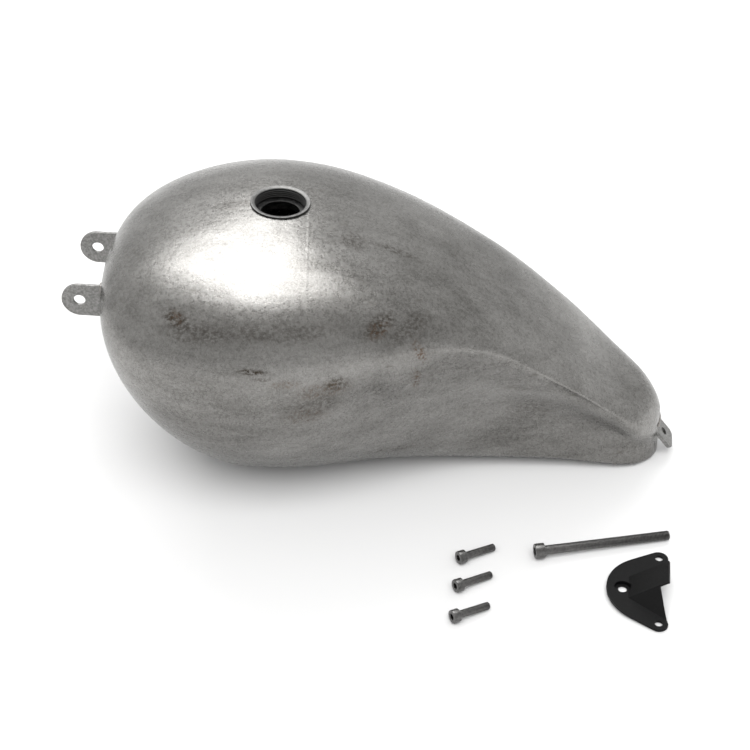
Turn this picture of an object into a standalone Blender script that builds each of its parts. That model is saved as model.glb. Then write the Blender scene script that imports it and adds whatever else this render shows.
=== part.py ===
"""Stretched motorcycle fuel tank in bare sheet steel, with the mounting kit that belongs to it.

The tank is welded up from two pressed shell halves, two floor pans and a backbone tunnel.
It lies level on a bench. x runs back from the nose, y to the rider's right, and z up from
the bench. Everything hangs on an empty that puts the middle of the tunnel roof at the origin.
"""

import math

import bmesh
import bpy
import numpy as np
from mathutils import Euler, Matrix, Vector

for leftover in list(bpy.data.objects):
    bpy.data.objects.remove(leftover, do_unlink=True)

# Driving dimensions, in metres.
BODY_LENGTH = 0.590
BODY_WIDTH = 0.360
CROWN_HEIGHT = 0.286
WALL = 0.0016
GAP = 0.0003
SEAM_GAP = 0.0003            # between the halves, along the centre
FLOOR_SEAM = 0.0015          # round the floor pans, where the sheets' edges lean together

# The body's run from nose to tail. Each row is one station:
# place along the length, crown, waist and floor heights as shares of the crown height,
# waist and floor half widths as shares of the half width, and the depth of the knee dish
# as a share of the half width.
STATIONS = (
    (0.000, 1.000, 0.577, 0.0246, 1.000, 0.280, 0.000),
    (0.340, 1.000, 0.577, 0.0246, 1.000, 0.280, 0.000),
    (0.510, 0.912, 0.650, 0.0433, 0.800, 0.275, 0.010),
    (0.680, 0.738, 0.630, 0.0413, 0.547, 0.265, 0.070),
    (0.815, 0.532, 0.461, 0.0413, 0.434, 0.250, 0.100),
    (0.915, 0.347, 0.295, 0.0226, 0.341, 0.235, 0.080),
    (1.000, 0.253, 0.113, 0.0000, 0.252, 0.185, 0.020),
)
NOSE_HEIGHT = 0.7235         # height of the foremost point, as a share of the crown height
NOSE_SIDE = (0.310, 3.0)     # length of the nose's curve in plan, as a share, and its power
NOSE_CROWN = (0.308, 1.72)   # the same over the top
NOSE_FLOOR = (0.282, 1.8)    # and underneath
TAIL_ROUND = (0.060, 2.0)    # how the tail rounds off in plan
TAIL_BROW = (0.050, 2.0)     # and over the top,
TAIL_BROW_DROP = 0.022       # by this much
CROWN_POWER = 2.333
FLANK_POWER = 1.88
FLOOR_SPLIT = 1.86           # quarter turns from the crown to the seam with the floor pans
PAN_FRONT = 0.062            # where the floor pans start, back from the nose
PAN_REAR = 0.045             # and where they stop, ahead of the tail
TAIL_CORNER = 0.018          # room for the bend between the tail floor and the end wall

STATION_COUNT = 36
CROWN_STEPS = 8
FLANK_STEPS = 8
PAN_STEPS = 4

# The channel that the frame's backbone lies in.
TUNNEL_WIDTH = 0.070
TUNNEL_HEIGHT = 0.075
TUNNEL_LEVEL_LEFT = 0.250    # where the roof starts down, ahead of the tail,
TUNNEL_RUNOUT_LEFT = 0.055   # and where it meets the floor
DATUM_X = 0.200

# Filler
FILLER_X = 0.185
FILLER_BORE = 0.0525
NECK_WALL = 0.0032
RIM_DIAMETER = 0.0625
RIM_PROUD = 0.0011
RIM_CHAMFER = 0.0004
RIM_FUNNEL = 0.0013          # how far the lip slopes down to the bore
NECK_DEPTH = 0.026
SEAT_RING_DEPTH = 0.0110
SEAT_RING_THICKNESS = 0.003
SEAT_RING_BORE = 0.040

# Ears that carry the tank
FRONT_EAR_SPACING = 0.100
FRONT_EAR_THICKNESS = 0.004
FRONT_EAR_HEIGHT = 0.038
FRONT_EAR_REACH = 0.022
FRONT_EAR_DROP = 0.1000
FRONT_EAR_ROOT = 0.050
FRONT_EAR_HOLE = 0.0125
REAR_EAR_WIDTH = 0.030
REAR_EAR_THICKNESS = 0.004
REAR_EAR_HOLE = 0.009
REAR_EAR_SLOPE = math.radians(52)
REAR_EAR_HOLE_HEIGHT = 0.0205
REAR_EAR_HOLE_REACH = 0.0045
REAR_EAR_TIP = 0.0155
REAR_EAR_ROOT = 0.024
REAR_EAR_CORNER = 0.004

# Inside and underneath
BAFFLE_THICKNESS = 0.0015
FRONT_BAFFLE_X = 0.258
REAR_BAFFLE_X = 0.405
BAFFLE_WALL_GAP = 0.0018
FLOW_HOLE = 0.032
OUTLET_X = 0.235
OUTLET_BORE = 0.0135
OUTLET_DIAMETER = 0.020
OUTLET_RISE = 0.010
OUTLET_DROP = 0.006
CROSSOVER_X = 0.096
CROSSOVER_TO_TUNNEL = 0.0105  # from the nipple's middle to the tunnel's side
CROSSOVER_DIAMETER = 0.008
CROSSOVER_BORE = 0.005
CROSSOVER_LENGTH = 0.034
CROSSOVER_BELOW = 0.018
BARB_DIAMETER = 0.0096
VENT_X = 0.226
VENT_DIAMETER = 0.006
VENT_BORE = 0.004
VENT_TOP_CLEARANCE = 0.016
VENT_BELOW = 0.003

# Mounting kit. Screws: thread diameter, length, head diameter, head height, key size, key depth
SHORT_SCREW = (0.008, 0.035, 0.0138, 0.008, 0.006, 0.004)
LONG_SCREW = (0.010, 0.133, 0.016, 0.010, 0.008, 0.005)
# name, size, place of the head's end: back from the nose and out from the tank's side, heading in degrees
SCREWS = (
    ("short_screw_1", SHORT_SCREW, (0.389, 0.0350), 35.0),
    ("short_screw_2", SHORT_SCREW, (0.389, 0.0785), 36.0),
    ("short_screw_3", SHORT_SCREW, (0.389, 0.1245), 35.0),
    ("long_screw", LONG_SCREW, (0.4662, 0.0180), 17.7),
)
BRACKET_TIP = (0.6023, 0.0592)  # laid out as the screws are
BRACKET_THICKNESS = 0.0026
BRACKET_LENGTH = 0.0623
BRACKET_FRONT_RADIUS = 0.050
BRACKET_LEG_SPACING = 0.0986
BRACKET_LEG_RADIUS = 0.0095
BRACKET_LEG_HOLE = 0.0085
BRACKET_HOLE_BACK = 0.0458
BRACKET_HOLE = 0.009
BRACKET_COUNTERBORE = 0.017
BRACKET_COUNTERBORE_DEPTH = 0.0036
BRACKET_BOSS = 0.022
BRACKET_BOSS_DROP = 0.0018
ARM_WIDTH = 0.032
ARM_ROOT_BACK = 0.040
ARM_SLOPE = math.radians(35.5)
ARM_OVERHANG = -0.0026
WEB_FOOT_BACK = 0.0015
WEB_FOOT_SPREAD = 0.0435
WEB_TOP_BACK = 0.0113

ROUND = 32
PAST = 0.050                 # how far a cutter runs past what it cuts


def make_collection(name):
    collection = bpy.data.collections.new(name)
    bpy.context.scene.collection.children.link(collection)
    return collection


PARTS = make_collection("fuel_tank")
CUTTERS = make_collection("fuel_tank_cutters")

datum = bpy.data.objects.new("bench_datum", None)
datum.location = (-DATUM_X, 0, -(TUNNEL_HEIGHT - WALL))
PARTS.objects.link(datum)


def finish_material(name, colour, roughness, metallic):
    material = bpy.data.materials.new(name)
    material.use_nodes = True
    shader = material.node_tree.nodes["Principled BSDF"]
    shader.inputs["Base Color"].default_value = (*colour, 1)
    shader.inputs["Roughness"].default_value = roughness
    shader.inputs["Metallic"].default_value = metallic
    return material


def put_in(obj, collection):
    for owner in list(obj.users_collection):
        owner.objects.unlink(obj)
    collection.objects.link(obj)
    obj.parent = datum


def as_part(obj, name, colour, roughness=0.45, metallic=0.9, smooth=True):
    """Names a finished piece, gives it its material and shades it."""
    obj.name = name
    obj.data.name = name
    obj.data.materials.clear()
    obj.data.materials.append(finish_material(name + "_finish", colour, roughness, metallic))
    put_in(obj, PARTS)
    if smooth and obj.type == "MESH":
        obj.data.shade_smooth()
        obj.data.set_sharp_from_angle(angle=math.radians(35))
    return obj


def as_cutter(obj, name):
    obj.name = name
    obj.hide_render = True
    obj.display_type = "WIRE"
    put_in(obj, CUTTERS)
    return obj


def boolean(obj, tool, operation="DIFFERENCE"):
    modifier = obj.modifiers.new(operation.lower(), "BOOLEAN")
    modifier.operation = operation
    modifier.object = tool
    modifier.solver = "EXACT"
    return modifier


def box(low, high):
    """A block between two corners."""
    centre = [(a + b) / 2 for a, b in zip(low, high)]
    bpy.ops.mesh.primitive_cube_add(size=1, location=centre)
    obj = bpy.context.object
    obj.scale = [b - a for a, b in zip(low, high)]
    bpy.ops.object.transform_apply(location=False, rotation=False, scale=True)
    return obj


def rod(diameter, low, high, place, turn=(0, 0, 0), sides=ROUND):
    """A cylinder along its own z from low to high, set at place and turned."""
    bpy.ops.mesh.primitive_cylinder_add(radius=diameter / 2, depth=high - low, vertices=sides)
    obj = bpy.context.object
    obj.data.transform(Matrix.Translation((0, 0, (low + high) / 2)))
    obj.location = place
    obj.rotation_euler = turn
    return obj


def turned(profile, place, turn=(0, 0, 0), steps=ROUND):
    """A closed outline of (radius, height) points, run down its outer side, spun about z."""
    mesh = bpy.data.meshes.new("turned")
    points = [(radius, 0, height) for radius, height in profile]
    edges = [(i, (i + 1) % len(points)) for i in range(len(points))]
    mesh.from_pydata(points, edges, [])
    obj = bpy.data.objects.new("turned", mesh)
    bpy.context.scene.collection.objects.link(obj)
    screw = obj.modifiers.new("spin", "SCREW")
    screw.steps = steps
    screw.render_steps = steps
    screw.use_merge_vertices = True
    screw.merge_threshold = 0.00001
    obj.location = place
    obj.rotation_euler = turn
    return obj


def plate(outline, thickness):
    """A flat outline in its own x-y plane, thickened evenly to both sides, as a mesh."""
    curve = bpy.data.curves.new("plate", "CURVE")
    curve.dimensions = "2D"
    curve.fill_mode = "BOTH"
    curve.extrude = thickness / 2
    spline = curve.splines.new("POLY")
    spline.points.add(len(outline) - 1)
    for point, (x, y) in zip(spline.points, outline):
        point.co = (x, y, 0, 1)
    spline.use_cyclic_u = True
    flat = bpy.data.objects.new("plate", curve)
    bpy.context.scene.collection.objects.link(flat)
    bpy.context.view_layer.update()
    mesh = bpy.data.meshes.new_from_object(flat.evaluated_get(bpy.context.evaluated_depsgraph_get()))
    welded = bmesh.new()
    welded.from_mesh(mesh)
    bmesh.ops.remove_doubles(welded, verts=welded.verts, dist=0.00001)
    bmesh.ops.recalc_face_normals(welded, faces=welded.faces)
    welded.to_mesh(mesh)
    welded.free()
    solid = bpy.data.objects.new("plate", mesh)
    bpy.context.scene.collection.objects.link(solid)
    bpy.data.objects.remove(flat, do_unlink=True)
    return solid


def arc(centre, radius, start, end, steps=12):
    """Points on an arc, with its angles in degrees."""
    angles = np.radians(np.linspace(start, end, steps + 1))
    return [(centre[0] + radius * math.cos(a), centre[1] + radius * math.sin(a)) for a in angles]


# The pressed body

def along_stations(column, x):
    """Reads one column of the stations at x, on a smooth curve through its values."""
    table = np.array(STATIONS)
    knots = table[:, 0] * BODY_LENGTH
    values = table[:, column]
    slopes = np.empty_like(values)
    slopes[1:-1] = (values[2:] - values[:-2]) / (knots[2:] - knots[:-2])
    slopes[0] = (values[1] - values[0]) / (knots[1] - knots[0])
    slopes[-1] = (values[-1] - values[-2]) / (knots[-1] - knots[-2])
    span = np.clip(np.searchsorted(knots, x, side="right") - 1, 0, len(knots) - 2)
    width = knots[span + 1] - knots[span]
    t = (x - knots[span]) / width
    from_left = (1 + 2 * t) * (1 - t) ** 2 * values[span] + t * (1 - t) ** 2 * width * slopes[span]
    from_right = t * t * (3 - 2 * t) * values[span + 1] + t * t * (t - 1) * width * slopes[span + 1]
    return from_left + from_right


def rounding(distance, length_and_power):
    """Grows from 0 at an end of the body to 1, the way a rounded end does."""
    share, power = length_and_power
    t = np.clip(distance / (share * BODY_LENGTH), 0, 1)
    return np.clip(1 - (1 - t) ** power, 0, 1) ** (1 / power)


def ease(t):
    t = np.clip(t, 0, 1)
    return t * t * (3 - 2 * t)


def body_point(x, turns):
    """Half width and height of the skin at x, where turns runs 0 crown, 1 waist, 2 floor."""
    half_width = BODY_WIDTH / 2
    crown, waist, floor = (along_stations(column, x) * CROWN_HEIGHT for column in (1, 2, 3))
    waist_y, floor_y, dish = (along_stations(column, x) * half_width for column in (4, 5, 6))
    nose = NOSE_HEIGHT * CROWN_HEIGHT
    side = rounding(x, NOSE_SIDE)
    tail = rounding(BODY_LENGTH - x, TAIL_ROUND)
    crown = nose + (crown - nose) * rounding(x, NOSE_CROWN)
    crown = crown - TAIL_BROW_DROP * (1 - rounding(BODY_LENGTH - x, TAIL_BROW))
    floor = nose + (floor - nose) * rounding(x, NOSE_FLOOR)
    waist = nose + (waist - nose) * side
    waist_y = waist_y * side * tail
    floor_y = floor_y * side * tail
    above = np.clip(turns, 0, 1) * math.pi / 2
    below = np.clip(turns - 1, 0, 1) * math.pi / 2
    share = np.clip(turns - 1, 0, 1)
    hollow = np.maximum(dish, 0) * tail * ease(share / 0.35) * (1 - ease((share - 0.3) / 0.7))
    upper_y = waist_y * np.abs(np.sin(above)) ** (2 / CROWN_POWER)
    upper_z = waist + (crown - waist) * np.abs(np.cos(above)) ** (2 / CROWN_POWER)
    lower_y = floor_y + (waist_y - floor_y) * np.abs(np.cos(below)) ** (2 / FLANK_POWER) - hollow
    lower_z = waist - (waist - floor) * np.abs(np.sin(below)) ** (2 / FLANK_POWER)
    upper = turns <= 1
    return np.where(upper, upper_y, lower_y), np.where(upper, upper_z, lower_z)


def crown_height(x):
    return float(body_point(np.array([x]), np.array([0.0]))[1][0])


def floor_height(x):
    return float(body_point(np.array([x]), np.array([2.0]))[1][0])


def pan_middle(x):
    """How far out the middle of a floor pan is, between the tunnel and the seam."""
    seam = float(body_point(np.array([x]), np.array([FLOOR_SPLIT]))[0][0])
    return (TUNNEL_WIDTH / 2 + seam) / 2


def station_places():
    """Places of the skin's rows, closer together at both ends, with the pans' end seams."""
    steps = np.linspace(0, math.pi, STATION_COUNT)
    places = BODY_LENGTH * (1 - np.cos(steps)) / 2
    room_to_turn = 2 * WALL
    at_end = np.abs(BODY_LENGTH - places) < 1e-9
    places = places[at_end | (BODY_LENGTH - places > room_to_turn)]
    apart = BODY_LENGTH / STATION_COUNT / 4
    for seam in (PAN_FRONT, BODY_LENGTH - PAN_REAR):
        places = places[np.abs(places - seam) > apart]
        places = np.append(places, [seam - FLOOR_SEAM / 2, seam + FLOOR_SEAM / 2])
    return np.sort(places)


def seam_turn(x, offset):
    """The turn at a given distance along the skin from the seam with the floor pans."""
    turns = np.linspace(1, 2, 201)
    y, z = body_point(np.full_like(turns, x), turns)
    lengths = np.concatenate([[0], np.cumsum(np.hypot(np.diff(y), np.diff(z)))])
    seam = np.interp(FLOOR_SPLIT, turns, lengths)
    return float(np.interp(seam + offset, lengths, turns))


def skin_row(x):
    """A closed section of the skin, from the middle of the floor up, over and down again."""
    seam = FLOOR_SEAM / 2
    upper = np.linspace(0, 1, CROWN_STEPS + 1)
    flank = np.linspace(1, seam_turn(x, -seam), FLANK_STEPS + 1)[1:]
    under = np.linspace(seam_turn(x, seam), 2, PAN_STEPS)
    turns = np.concatenate([upper, flank, under])
    y, z = body_point(np.full_like(turns, x), turns)
    y = np.append(y, 0)
    z = np.append(z, z[-1])
    right = np.stack([np.full_like(y, x), y, z], axis=1)
    return np.concatenate([right[::-1], right[1:] * (1, -1, 1)])


def sheet_object(name, keep, clearance=0.0):
    """The faces of the skin that keep(row, steps from the floor's middle) asks for."""
    places = station_places()
    rows = [skin_row(x) for x in places]
    count = len(rows[0])
    faces = []
    for i in range(len(rows) - 1):
        for j in range(count - 1):
            if keep(places[i], min(j, count - 2 - j)):
                first = i * count + j
                faces.append((first, first + 1, first + count + 1, first + count))
    mesh = bpy.data.meshes.new(name)
    mesh.from_pydata([tuple(point) for row in rows for point in row], [], faces)
    sheet = bmesh.new()
    sheet.from_mesh(mesh)
    bmesh.ops.remove_doubles(sheet, verts=sheet.verts, dist=0.00002)
    bmesh.ops.dissolve_degenerate(sheet, edges=sheet.edges, dist=0.00001)
    loose = [vert for vert in sheet.verts if not vert.link_faces]
    bmesh.ops.delete(sheet, geom=loose, context="VERTS")
    bmesh.ops.recalc_face_normals(sheet, faces=sheet.faces)
    middle = Vector((BODY_LENGTH * 0.4, 0, CROWN_HEIGHT / 2))
    outward = sum(
        face.normal.dot(face.calc_center_median() - middle) * face.calc_area() for face in sheet.faces)
    if outward < 0:
        bmesh.ops.reverse_faces(sheet, faces=sheet.faces)
    sheet.normal_update()
    moves = [vert.normal * clearance for vert in sheet.verts]
    for vert, move in zip(sheet.verts, moves):
        vert.co += move
    sheet.to_mesh(mesh)
    sheet.free()
    obj = bpy.data.objects.new(name, mesh)
    bpy.context.scene.collection.objects.link(obj)
    return obj


def in_pan(x, step):
    """Whether the strip of skin that starts at x belongs to the floor pans."""
    return PAN_FRONT < x < BODY_LENGTH - PAN_REAR - FLOOR_SEAM and step < PAN_STEPS


def in_tail_floor(x, step):
    """Whether it belongs to the floor of the tail, which stops short of the end wall."""
    return BODY_LENGTH - PAN_REAR < x < BODY_LENGTH - TAIL_CORNER and step < PAN_STEPS


def in_shell(x, step):
    """The shell takes the flanks and crown, and wraps right round the nose."""
    return x < PAN_FRONT - FLOOR_SEAM or step > PAN_STEPS


def envelope(name, clearance):
    """The closed outer form of the body, grown or shrunk by a clearance."""
    return as_cutter(sheet_object(name, lambda x, step: True, clearance), name)


def side_block(side, name):
    """All the space on one side of the centre seam."""
    near = SEAM_GAP / 2
    far = BODY_WIDTH
    low_y, high_y = (near, far) if side > 0 else (-far, -near)
    low = (-PAST, low_y, -PAST)
    return as_cutter(box(low, (BODY_LENGTH + PAST, high_y, CROWN_HEIGHT + PAST)), name)


def tunnel_block(name, inset, past):
    """The backbone channel as a solid, from ahead of the nose to where it runs out."""
    roof = TUNNEL_HEIGHT - inset
    slope = TUNNEL_HEIGHT / (TUNNEL_LEVEL_LEFT - TUNNEL_RUNOUT_LEFT)
    bend = BODY_LENGTH - TUNNEL_LEVEL_LEFT - inset * math.tan(math.atan(slope) / 2)
    outline = [(-past, -past), (bend + (roof + past) / slope, -past), (bend, roof), (-past, roof)]
    block = plate(outline, TUNNEL_WIDTH - 2 * inset)
    block.rotation_euler = (math.pi / 2, 0, 0)
    return as_cutter(block, name)


STEEL = (0.36, 0.35, 0.33)
DARK_STEEL = (0.10, 0.10, 0.10)
BLACK_COAT = (0.012, 0.012, 0.012)

halves = {1: side_block(1, "right_half"), -1: side_block(-1, "left_half")}
body_form = envelope("body_form", 0.0)
body_clearance = envelope("body_clearance", GAP)
tunnel_clearance = tunnel_block("tunnel_clearance", -GAP, PAST)
tunnel_inside = tunnel_block("tunnel_inside", WALL, 2 * PAST)

rim_slope = math.atan2(crown_height(FILLER_X + 0.02) - crown_height(FILLER_X - 0.02), 0.04)
filler_place = (FILLER_X, 0, crown_height(FILLER_X))
filler_turn = (0, -rim_slope, 0)
neck_diameter = FILLER_BORE + 2 * NECK_WALL
filler_hole = as_cutter(rod(neck_diameter + 2 * GAP, -PAST, PAST, filler_place, filler_turn), "filler_hole")


def floor_hole(name, diameter, x, y):
    """A hole through the floor pan, for a pipe that stands in it."""
    return as_cutter(rod(diameter + 2 * GAP, -PAST, PAST, (x, y, floor_height(x))), name)


crossover_y = TUNNEL_WIDTH / 2 + CROSSOVER_TO_TUNNEL
outlet_hole = floor_hole("outlet_hole", OUTLET_DIAMETER, OUTLET_X, -pan_middle(OUTLET_X))
vent_hole = floor_hole("vent_hole", VENT_DIAMETER, VENT_X, pan_middle(VENT_X))
crossover_holes = {
    side: floor_hole(f"crossover_hole_{side}", CROSSOVER_DIAMETER, CROSSOVER_X, side * crossover_y)
    for side in (1, -1)
}


def build_body_piece(name, keep, side=0, holes=()):
    """A sheet of the skin, or one half of it, with its wall and its openings."""
    obj = sheet_object(name, keep)
    wall = obj.modifiers.new("wall", "SOLIDIFY")
    wall.thickness = WALL
    wall.offset = -1
    if side:
        boolean(obj, halves[side], "INTERSECT")
    for hole in holes:
        boolean(obj, hole)
    return as_part(obj, name, STEEL)


def build_body():
    build_body_piece("left_shell", in_shell, -1, [tunnel_clearance, filler_hole])
    build_body_piece("right_shell", in_shell, 1, [tunnel_clearance, filler_hole])
    build_body_piece("left_floor_pan", in_pan, -1, [tunnel_clearance, outlet_hole, crossover_holes[-1]])
    build_body_piece("right_floor_pan", in_pan, 1, [tunnel_clearance, vent_hole, crossover_holes[1]])
    build_body_piece("tail_floor", in_tail_floor)


def build_tunnel():
    """Sheet channel, trimmed to the body's own outline front, rear and below."""
    tunnel = tunnel_block("backbone_tunnel", 0.0, PAST)
    tunnel.hide_render = False
    tunnel.display_type = "TEXTURED"
    boolean(tunnel, tunnel_inside)
    boolean(tunnel, body_form, "INTERSECT")
    return as_part(tunnel, "backbone_tunnel", STEEL, smooth=False)


def build_filler():
    """Neck with a chamfered rim that laps over its hole, and the ring that the cap seals on."""
    bore = FILLER_BORE / 2
    neck = neck_diameter / 2
    rim = RIM_DIAMETER / 2
    seat = -SEAT_RING_DEPTH
    recess = bore + NECK_WALL / 2
    profile = [
        (bore, RIM_PROUD - RIM_FUNNEL), (rim - RIM_CHAMFER, RIM_PROUD), (rim, RIM_PROUD - RIM_CHAMFER),
        (rim, GAP), (neck, GAP), (neck, -NECK_DEPTH), (recess, -NECK_DEPTH), (recess, seat),
        (bore, seat),
    ]
    as_part(turned(profile, filler_place, filler_turn, 48), "filler_neck", STEEL, 0.35)
    outer = recess - GAP
    top = seat - GAP
    ring = [
        (SEAT_RING_BORE / 2, top), (outer, top), (outer, top - SEAT_RING_THICKNESS),
        (SEAT_RING_BORE / 2, top - SEAT_RING_THICKNESS),
    ]
    as_part(turned(ring, filler_place, filler_turn, 48), "cap_seat_ring", STEEL, 0.4)


def build_front_ear(side, name):
    """Upright ear with a full round end, butted against the nose."""
    radius = FRONT_EAR_HEIGHT / 2
    end = arc((-FRONT_EAR_REACH, 0), radius, 90, 270, 16)
    ear = plate(end + [(FRONT_EAR_ROOT, -radius), (FRONT_EAR_ROOT, radius)], FRONT_EAR_THICKNESS)
    height = CROWN_HEIGHT - FRONT_EAR_DROP
    middle = side * FRONT_EAR_SPACING / 2
    ear.location = (0, middle, height)
    ear.rotation_euler = (math.pi / 2, 0, 0)
    across = (math.pi / 2, 0, 0)
    hole = rod(FRONT_EAR_HOLE, -PAST, PAST, (-FRONT_EAR_REACH, middle, height), across)
    boolean(ear, as_cutter(hole, name + "_hole"))
    boolean(ear, body_clearance)
    return as_part(ear, name, STEEL, 0.5, smooth=False)


def build_rear_ear():
    """Sloping ear with clipped corners, butted against the round of the tail."""
    half = REAR_EAR_WIDTH / 2
    corner = REAR_EAR_CORNER
    tip = REAR_EAR_TIP
    outline = [
        (-REAR_EAR_ROOT, -half), (tip - corner, -half), (tip, corner - half),
        (tip, half - corner), (tip - corner, half), (-REAR_EAR_ROOT, half),
    ]
    ear = plate(outline, REAR_EAR_THICKNESS)
    place = (BODY_LENGTH + REAR_EAR_HOLE_REACH, 0, REAR_EAR_HOLE_HEIGHT)
    ear.location = place
    ear.rotation_euler = (0, REAR_EAR_SLOPE, 0)
    hole = rod(REAR_EAR_HOLE, -PAST, PAST, place, (0, REAR_EAR_SLOPE, 0))
    boolean(ear, as_cutter(hole, "rear_ear_hole"))
    boolean(ear, body_clearance)
    return as_part(ear, "rear_ear", STEEL, 0.5, smooth=False)


def baffle_outline(x):
    """Half width and height points of the section at x, drawn in by the wall and a gap."""
    upper = np.linspace(0, 1, 2 * CROWN_STEPS + 1)
    lower = np.linspace(1, 2, 2 * FLANK_STEPS + 1)[1:]
    turns = np.concatenate([upper, lower])
    y, z = body_point(np.full_like(turns, x), turns)
    loop = np.stack([np.concatenate([y, -y[:0:-1]]), np.concatenate([z, z[:0:-1]])], axis=1)
    along = np.roll(loop, -1, axis=0) - np.roll(loop, 1, axis=0)
    along /= np.linalg.norm(along, axis=1)[:, None]
    inward = np.stack([along[:, 1], -along[:, 0]], axis=1)
    return [tuple(point) for point in loop + inward * (WALL + BAFFLE_WALL_GAP)]


def build_baffle(name, x):
    """Slosh plate across the body, astride the tunnel, with flow holes."""
    slab = plate(baffle_outline(x), BAFFLE_THICKNESS)
    slab.location = (x, 0, 0)
    slab.rotation_euler = (math.pi / 2, 0, math.pi / 2)
    boolean(slab, tunnel_clearance)
    waist_y, waist_z = (float(value[0]) for value in body_point(np.array([x]), np.array([1.0])))
    high = (waist_z + crown_height(x)) / 2
    low = (waist_z + floor_height(x)) / 2
    spots = [(0, high)]
    for side in (1, -1):
        spots += [(side * waist_y * 0.5, high - FLOW_HOLE / 4), (side * waist_y * 0.62, low)]
    for number, (y, z) in enumerate(spots, 1):
        hole = rod(FLOW_HOLE, -PAST, PAST, (x, y, z), (0, math.pi / 2, 0), 24)
        boolean(slab, as_cutter(hole, f"{name}_hole_{number}"))
    return as_part(slab, name, STEEL, 0.6, smooth=False)


def tube_profile(outer, bore, low, high):
    return [(bore / 2, high), (outer / 2, high), (outer / 2, low), (bore / 2, low)]


def build_outlet():
    """Bung that the fuel tap screws into, standing through the left pan."""
    place = (OUTLET_X, -pan_middle(OUTLET_X), floor_height(OUTLET_X))
    profile = tube_profile(OUTLET_DIAMETER, OUTLET_BORE, -OUTLET_DROP, OUTLET_RISE)
    return as_part(turned(profile, place), "fuel_outlet_bung", STEEL, 0.35)


def build_crossover(side, name):
    """Barbed nipple under the front of a lobe, for the hose that joins the two."""
    tube = CROSSOVER_DIAMETER / 2
    bore = CROSSOVER_BORE / 2
    barb = BARB_DIAMETER / 2
    low = -CROSSOVER_BELOW
    high = CROSSOVER_LENGTH - CROSSOVER_BELOW
    step = barb - tube
    profile = [
        (bore, high), (tube, high), (tube, low + 6 * step), (barb, low + 5.5 * step),
        (tube, low + 3 * step), (barb, low + 2.5 * step), (tube, low), (bore, low),
    ]
    place = (CROSSOVER_X, side * crossover_y, floor_height(CROSSOVER_X))
    return as_part(turned(profile, place, steps=20), name, STEEL, 0.35)


def build_vent():
    """Breather pipe from under the crown down through the right pan."""
    top = float(body_point(np.array([VENT_X]), np.array([0.3]))[1][0]) - VENT_TOP_CLEARANCE
    low = -VENT_BELOW
    high = top - floor_height(VENT_X)
    place = (VENT_X, pan_middle(VENT_X), floor_height(VENT_X))
    profile = tube_profile(VENT_DIAMETER, VENT_BORE, low, high)
    return as_part(turned(profile, place, steps=16), "vent_pipe", STEEL, 0.35)


# The loose kit

def on_bench(back, out):
    """A spot on the bench, back from the nose and out from the tank's left side."""
    return back, -BODY_WIDTH / 2 - out, 0


def build_screw(name, size, place, heading):
    """Socket head screw that lies on the rim of its head and the end of its thread."""
    thread, length, head, head_height, key, key_depth = size
    chamfer = head * 0.06
    point = thread * 0.12
    profile = [
        (0, 0), (head / 2 - chamfer, 0), (head / 2, -chamfer), (head / 2, -head_height),
        (thread / 2, -head_height), (thread / 2, point - head_height - length),
        (thread / 2 - point, -head_height - length), (0, -head_height - length),
    ]
    dip = math.atan2((head - thread) / 2, length)
    rest_height = head_height * math.sin(dip) + head / 2 * math.cos(dip)
    lie = Matrix.Rotation(math.radians(heading), 4, "Z") @ Matrix.Rotation(dip - math.pi / 2, 4, "Y")
    turn = lie.to_euler()
    spot = Vector(on_bench(*place)) + Vector((0, 0, rest_height))
    screw = turned(profile, spot, turn, 24)
    socket = rod(key / math.cos(math.pi / 6), -key_depth, PAST / 5, spot, turn, sides=6)
    boolean(screw, as_cutter(socket, name + "_socket"))
    return as_part(screw, name, DARK_STEEL, 0.35)


def tangent_points(big_centre, big_radius, small_centre, small_radius):
    """Angle in degrees of the outer line that touches both circles on their left."""
    across = small_centre[0] - big_centre[0]
    up = small_centre[1] - big_centre[1]
    distance = math.hypot(across, up)
    return math.degrees(math.atan2(up, across) + math.acos((big_radius - small_radius) / distance))


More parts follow.
